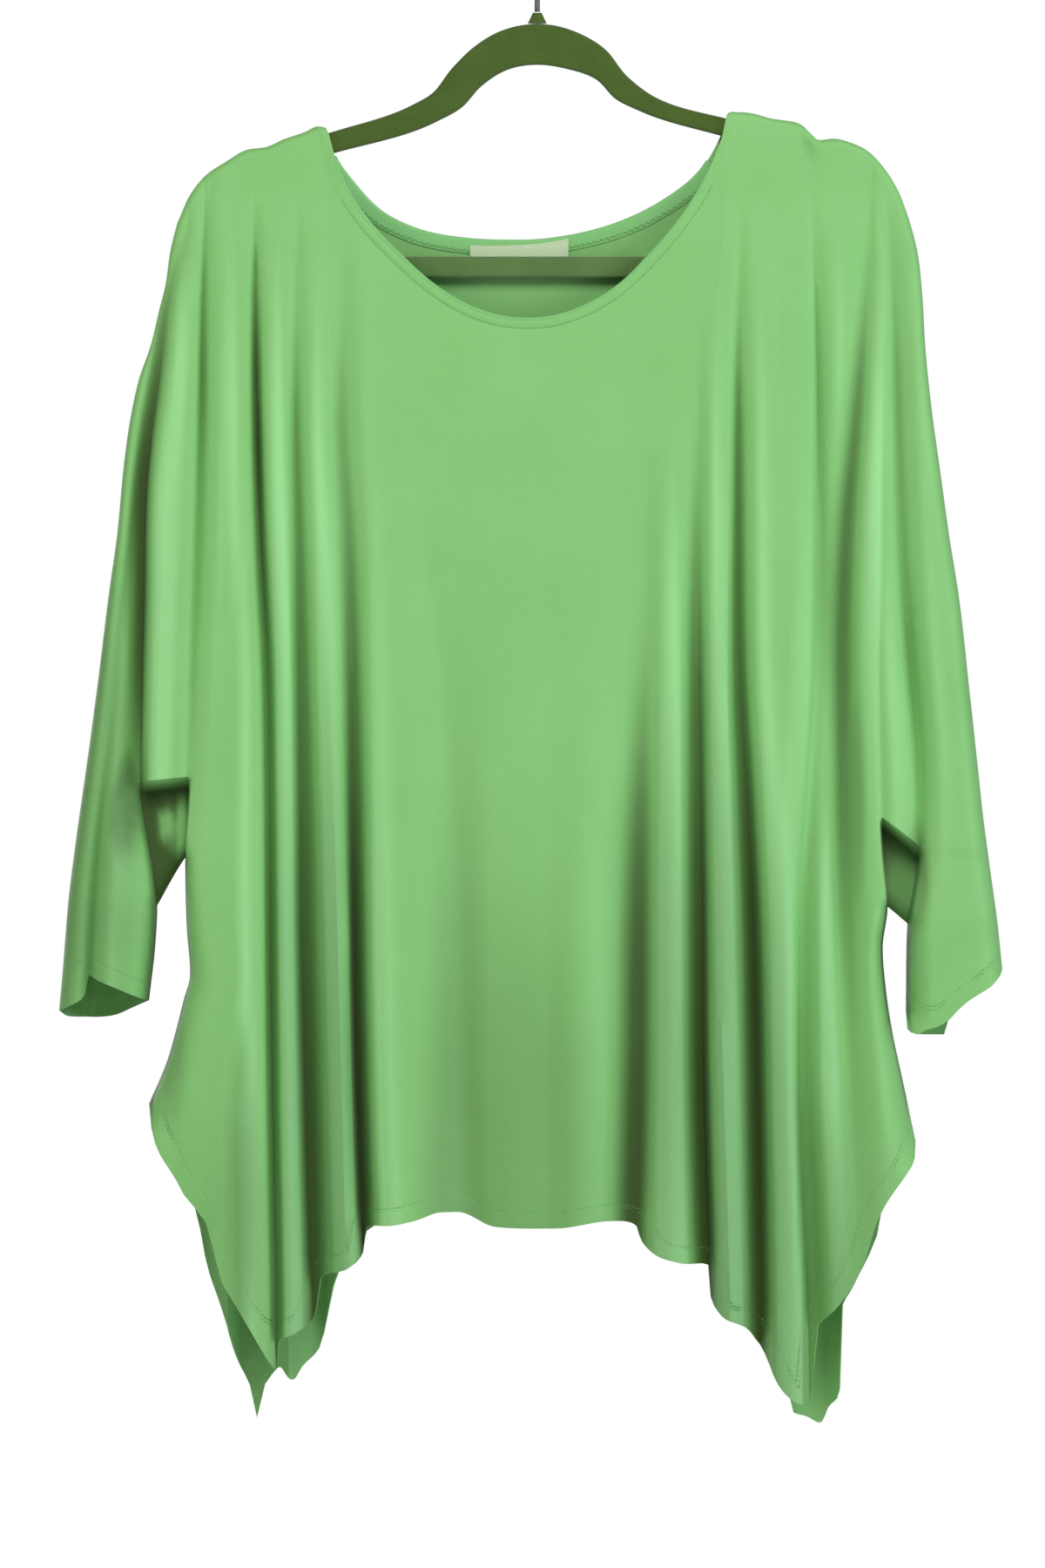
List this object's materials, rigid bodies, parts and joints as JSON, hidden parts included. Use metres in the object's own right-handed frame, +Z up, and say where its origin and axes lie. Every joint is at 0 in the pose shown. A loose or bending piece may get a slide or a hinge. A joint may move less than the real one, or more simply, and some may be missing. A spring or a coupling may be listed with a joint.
{
  "type": "jersey shirt on hanger",
  "caption": "Wide light green jersey top with cut-on sleeves, a scoop neck and a hem with long corners, hung on a slim flocked hanger.",
  "frame": {"origin": "inside top of the hook, at the point that rests on a rail", "axes": "+X to the right as seen from the front, the front faces -Y, +Z up"},
  "size_m": [0.576, 0.0692, 0.9438],
  "materials": {
    "jersey": "light green viscose jersey with a soft sheen",
    "facing": "the same jersey, turned inside the neck",
    "label": "blank satin tape",
    "flock": "dark olive flocking over moulded plastic",
    "chrome": "polished wire"
  },
  "bodies": {
    "root": {"front_panel": "jersey", "back_panel": "jersey", "front_neck_facing": "facing", "back_neck_facing": "facing", "neck_label": "label", "hanger_body": "flock", "hook_collar": "flock", "hanger_hook": "chrome"}
  },
  "joints": []
}
